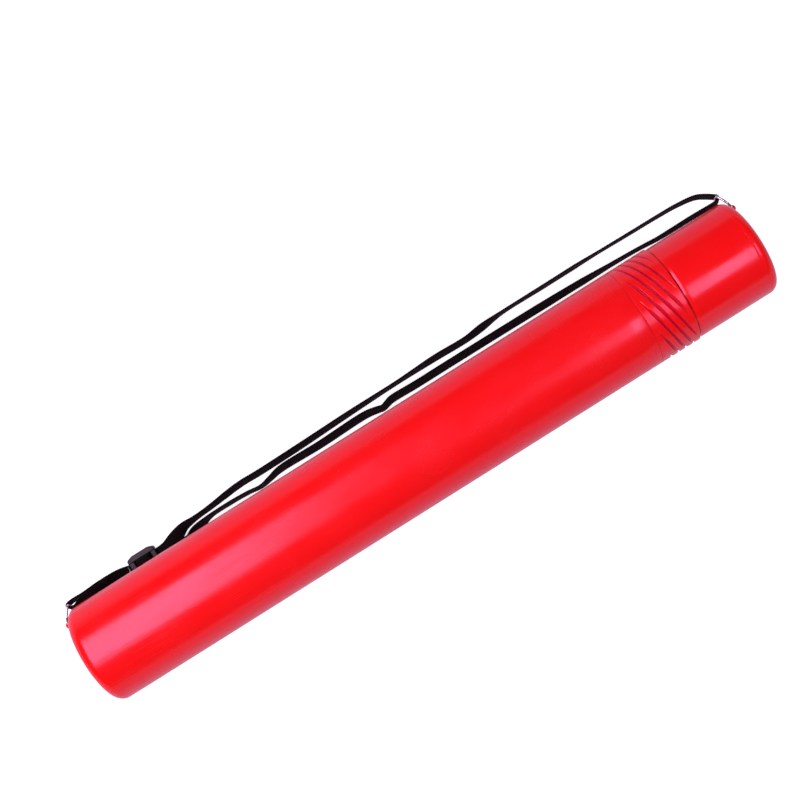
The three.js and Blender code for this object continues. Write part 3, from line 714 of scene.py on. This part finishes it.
def bumped(add, link, shader, height, strength, distance):
    """Gives the shader a bump from a height, with its strength and its distance in metres."""
    bump = add("ShaderNodeBump")
    bump.inputs["Strength"].default_value = strength
    bump.inputs["Distance"].default_value = distance
    link(height, bump.inputs["Height"])
    link(bump.outputs["Normal"], shader.inputs["Normal"])


def red_plastic(name, tint=1.0, rough=0.24, scuffs=1.0, streaks=1.0, shade_grooves=False):
    """Glossy red moulded plastic: colour that drifts a little, hair scuffs along the tube that
    are stronger near the base, turning streaks near the collar, and a faint mould ripple. On the
    collar the grooves get painted shade: a deeper colour by their depth attribute."""
    mat, shader, add, link = material(name)
    place = add("ShaderNodeTexCoord").outputs["Object"]
    axes = add("ShaderNodeSeparateXYZ")
    link(place, axes.inputs["Vector"])
    drift = noise(add, link, place, 18, (1, 1, 1), 4)
    colour = two_tone(add, link, drift, (0.80 * tint, 0.0018, 0.0030),
                      (0.88 * tint, 0.0034, 0.0040))
    if shade_grooves:
        # Painted shade: the grooves darken to a deep purple red as they get deeper.
        groove_shade_mix = add("ShaderNodeMix", data_type="RGBA")
        groove_shade_mix.inputs["B"].default_value = (0.36, 0.0008, 0.034, 1)
        link(colour, groove_shade_mix.inputs["A"])
        depth = add("ShaderNodeAttribute", attribute_name="groove").outputs["Fac"]
        link(ramp(add, link, depth, 0.15, 0.9, 0, 0.8), groove_shade_mix.inputs["Factor"])
        colour = groove_shade_mix.outputs["Result"]
    link(colour, shader.inputs["Base Color"])
    hair = noise(add, link, place, 1, (14, 900, 900), 2)
    hair_lines = ramp(add, link, hair, 0.55, 0.7, 0, 1)
    patches = noise(add, link, place, 1, (16, 70, 70), 2)
    hair_lines = math_node(add, link, "MULTIPLY", hair_lines,
                           ramp(add, link, patches, 0.48, 0.6, 0, 1))
    near_base = ramp(add, link, axes.outputs["X"], 0.2, 0.06, 0.04, 1)
    rub = math_node(add, link, "MULTIPLY", hair_lines, near_base)
    turning = noise(add, link, place, 1, (2600, 26, 26), 3)
    turn_lines = ramp(add, link, turning, 0.45, 0.75, 0, 1)
    near_collar = ramp(add, link, axes.outputs["X"], 0.33, 0.41, 0.1, 1)
    spin = math_node(add, link, "MULTIPLY", turn_lines, near_collar)
    cloud = noise(add, link, place, 55, (0.6, 1, 1), 5)
    base = ramp(add, link, cloud, 0.3, 0.7, rough - 0.035, rough + 0.05)
    wear = math_node(add, link, "MULTIPLY", rub, 0.16 * scuffs)
    spin_wear = math_node(add, link, "MULTIPLY", spin, 0.03 * streaks)
    wear = math_node(add, link, "ADD", wear, spin_wear)
    link(math_node(add, link, "ADD", base, wear), shader.inputs["Roughness"])
    ripple = noise(add, link, place, 1, (10, 90, 90), 2)
    height = math_node(add, link, "MULTIPLY", ripple, 0.5)
    height = math_node(add, link, "SUBTRACT", height, math_node(add, link, "MULTIPLY", rub, 0.45))
    spin_depth = math_node(add, link, "MULTIPLY", spin, 0.012)
    height = math_node(add, link, "SUBTRACT", height, spin_depth)
    bumped(add, link, shader, height, 0.17, 0.4 * MM)
    shader.inputs["IOR"].default_value = 1.49
    shader.inputs["Specular IOR Level"].default_value = 0.5
    shader.inputs["Specular Tint"].default_value = (1.0, 0.72, 1.0, 1)
    return mat


def webbing_material():
    """Black woven webbing: cross ribs with painted shade in each furrow, fine warp threads and a
    soft sheen.
    """
    mat, shader, add, link = material("black_webbing")
    strand = add("ShaderNodeAttribute", attribute_name="strand").outputs["Vector"]
    axes = add("ShaderNodeSeparateXYZ")
    link(strand, axes.inputs["Vector"])
    along = math_node(add, link, "MULTIPLY", axes.outputs["X"], 2 * math.pi / RIB_PITCH)
    rib = math_node(add, link, "COSINE", along, 0)
    warp = math_node(add, link, "MULTIPLY", axes.outputs["Y"], 2 * math.pi / WARP_PITCH)
    warp = math_node(add, link, "COSINE", warp, 0)
    both = math_node(add, link, "MULTIPLY", rib, 0.6)
    both = math_node(add, link, "ADD", both, math_node(add, link, "MULTIPLY", warp, 0.4))
    fuzz = noise(add, link, strand, 2600, (1, 1, 1), 3)
    height = math_node(add, link, "ADD", both, math_node(add, link, "MULTIPLY", fuzz, 0.9))
    bumped(add, link, shader, height, 0.55, 0.16 * MM)
    # Painted shade: the colour is darker where the rib and warp pattern sinks into furrows.
    furrow_shade = ramp(add, link, both, -1, 1, 0, 1)
    link(two_tone(add, link, furrow_shade, (0.0010, 0.0010, 0.0010), (0.0078, 0.0076, 0.0074)),
         shader.inputs["Base Color"])
    worn = noise(add, link, strand, 240, (1, 1, 1), 3)
    link(ramp(add, link, worn, 0.3, 0.7, 0.62, 0.85), shader.inputs["Roughness"])
    shader.inputs["Sheen Weight"].default_value = 0.02
    shader.inputs["Sheen Roughness"].default_value = 0.4
    shader.inputs["Specular IOR Level"].default_value = 0.08
    return mat


def slider_material():
    """Black moulded plastic with a fine spark-eroded grain and patches rubbed smoother."""
    mat, shader, add, link = material("slider_plastic")
    place = add("ShaderNodeTexCoord").outputs["Object"]
    grain = noise(add, link, place, 2400, (1, 1, 1), 3)
    bumped(add, link, shader, grain, 0.3, 0.06 * MM)
    worn = noise(add, link, place, 160, (1, 1, 1), 4)
    link(two_tone(add, link, worn, (0.0052, 0.0056, 0.0052), (0.0120, 0.0130, 0.0118)),
         shader.inputs["Base Color"])
    link(ramp(add, link, worn, 0.3, 0.7, 0.34, 0.5), shader.inputs["Roughness"])
    shader.inputs["Specular IOR Level"].default_value = 0.3
    return mat


def ring_material():
    """Bright nickel-plated steel wire with small dull spots."""
    mat, shader, add, link = material("ring_wire")
    place = add("ShaderNodeTexCoord").outputs["Object"]
    spots = noise(add, link, place, 900, (1, 1, 1), 4)
    link(two_tone(add, link, spots, (0.62, 0.61, 0.6), (0.8, 0.8, 0.81)),
         shader.inputs["Base Color"])
    shader.inputs["Metallic"].default_value = 1.0
    link(ramp(add, link, spots, 0.3, 0.7, 0.12, 0.28), shader.inputs["Roughness"])
    return mat


# Pieces


def dress(obj, node, mat, body):
    """Gives a piece outward faces, its material and its place in the frame."""
    recalculated(obj)
    obj.data.materials.clear()
    obj.data.materials.append(mat)
    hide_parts(node)
    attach(obj, body)


dress(body_tube(), "outer_tube", red_plastic("red_body"), "outer")
# The collar's grooves carry painted shade in their colour.
dress(collar(), "twist_collar",
      red_plastic("red_collar", tint=0.99, rough=0.23, scuffs=0.3, shade_grooves=True), "collar")
dress(slide_tube(), "inner_tube",
      red_plastic("red_inner", tint=0.97, rough=0.28, scuffs=0.2), "inner")
dress(end_cap(), "cap",
      red_plastic("red_cap", rough=0.2, scuffs=0.2, streaks=0.3), "cap")
WIRE = ring_material()
dress(wire_ring("base_wire_ring", 0.0, -1, 122), "base_ring", WIRE, "base_ring")
dress(wire_ring("cap_wire_ring", CLOSED_END, 1, 115), "cap_ring", WIRE, "cap_ring")
dress(strap_slider(), "strap_slider", slider_material(), "outer")

WEB = webbing_material()
for web, _, _ in webs.values():
    recalculated(web)
    web.data.materials.append(WEB)

# Each strap piece, the two bodies it lies between, and the blend's start and end; here only its
# transform is baked into its mesh.
BLENDS = {
    "base_end": ("outer", "base_ring", (0.018, 0.036, -0.015), (0.006, 0.036, -0.0095)),
    "outer_strand": ("outer", "inner", (0.1, 0.042, -0.029), (0.39, 0.042, -0.029)),
    "inner_strand": ("outer", "inner", (0.1, 0.037, -0.029), (0.385, 0.037, -0.029)),
    "outer_end": ("inner", "cap", (0.42, 0.048, -0.028), (0.476, 0.048, -0.028)),
    "inner_end": ("inner", "cap", (0.42, 0.036, -0.028), (0.476, 0.036, -0.028)),
    "cap_loop": ("cap", "cap_ring", (0.481, 0.038, -0.012), (0.4955, 0.038, -0.012)),
}
for part_name, (body_a, body_b, blend_start, blend_end) in BLENDS.items():
    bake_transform(webs[part_name][0])

CORDS = {
    "outer_strand": [webs["base_end"][0], "strap_slider"],
    "outer_end": [webs["cap_loop"][0]],
    "inner_end": [],
    "inner_strand": [],
}
for part_name, pieces_on_it in CORDS.items():
    web, line, web_length = webs[part_name]


# Studio


def add_floor():
    """White floor that shows about white to the camera, whiter away from the tube, and a rose
    grey in reflections. It keeps the soft shadow."""
    mesh = bpy.data.meshes.new("floor")
    size = 4.0
    corners = [(-size, -size), (size, -size), (size, size), (-size, size)]
    mesh.from_pydata([(x, y, FLOOR_Z) for x, y in corners], [], [[0, 1, 2, 3]])
    floor = bpy.data.objects.new("floor", mesh)
    bpy.context.collection.objects.link(floor)
    mat, shader, add, link = material("studio_floor")
    shader.inputs["Base Color"].default_value = (0.44, 0.44, 0.44, 1)
    shader.inputs["Roughness"].default_value = 0.85
    light_path = add("ShaderNodeLightPath")
    away = add("ShaderNodeVectorMath", operation="LENGTH")
    link(add("ShaderNodeTexCoord").outputs["Object"], away.inputs[0])
    to_camera = ramp(add, link, away.outputs["Value"], 0.6, 1.6, 0.8, 1.0)
    to_camera = math_node(add, link, "MULTIPLY", to_camera, light_path.outputs["Is Camera Ray"])
    mirrored = math_node(add, link, "MAXIMUM", light_path.outputs["Is Glossy Ray"],
                         light_path.outputs["Is Transmission Ray"])
    mirrored = math_node(add, link, "MULTIPLY", mirrored, FLOOR_MIRRORED)
    link(two_tone(add, link, light_path.outputs["Is Camera Ray"], (1.0, 0.62, 0.98), (1, 1, 1)),
         shader.inputs["Emission Color"])
    link(math_node(add, link, "ADD", to_camera, mirrored), shader.inputs["Emission Strength"])
    mesh.materials.append(mat)


def add_lamp(name, location, size_x, size_y, power):
    """Rectangular lamp overhead that faces down, with a faint rose tint."""
    data = bpy.data.lights.new(name, "AREA")
    data.shape = "RECTANGLE"
    data.size = size_x
    data.size_y = size_y
    data.energy = power
    data.color = LAMP_ROSE
    lamp = bpy.data.objects.new(name, data)
    lamp.location = location
    bpy.context.collection.objects.link(lamp)


def add_world():
    """Even surroundings at a plain level. In reflections they are white at the horizon and fall
    off to near black a little over it."""
    world = bpy.data.worlds.new("studio")
    bpy.context.scene.world = world
    world.use_nodes = True
    background = world.node_tree.nodes["Background"]
    background.inputs["Color"].default_value = (1, 1, 1, 1)
    add, link = tools(world.node_tree)
    light_path = add("ShaderNodeLightPath")
    mirrored = math_node(add, link, "MAXIMUM", light_path.outputs["Is Glossy Ray"],
                         light_path.outputs["Is Transmission Ray"])
    axes = add("ShaderNodeSeparateXYZ")
    link(add("ShaderNodeTexCoord").outputs["Generated"], axes.inputs["Vector"])
    backdrop = ramp(add, link, axes.outputs["Z"], 0.2, 0.0, OVERHEAD - FILL, 1 - FILL)
    level = math_node(add, link, "MULTIPLY", mirrored, backdrop)
    level = math_node(add, link, "ADD", level, FILL)
    level = math_node(add, link, "MAXIMUM", level, light_path.outputs["Is Camera Ray"])
    link(level, background.inputs["Strength"])


add_floor()
add_world()
add_lamp("broad_base_lamp", (-0.34, 0.42, 1.2), size_x=0.62, size_y=1.5, power=20.0)
add_lamp("fading_base_lamp", (0.05, 0.42, 1.2), size_x=0.16, size_y=1.2, power=0.3)
add_lamp("narrow_cap_lamp", (0.82, -0.36, 1.2), size_x=0.40, size_y=0.6, power=4.4)
bpy.context.scene.view_settings.view_transform = "Standard"
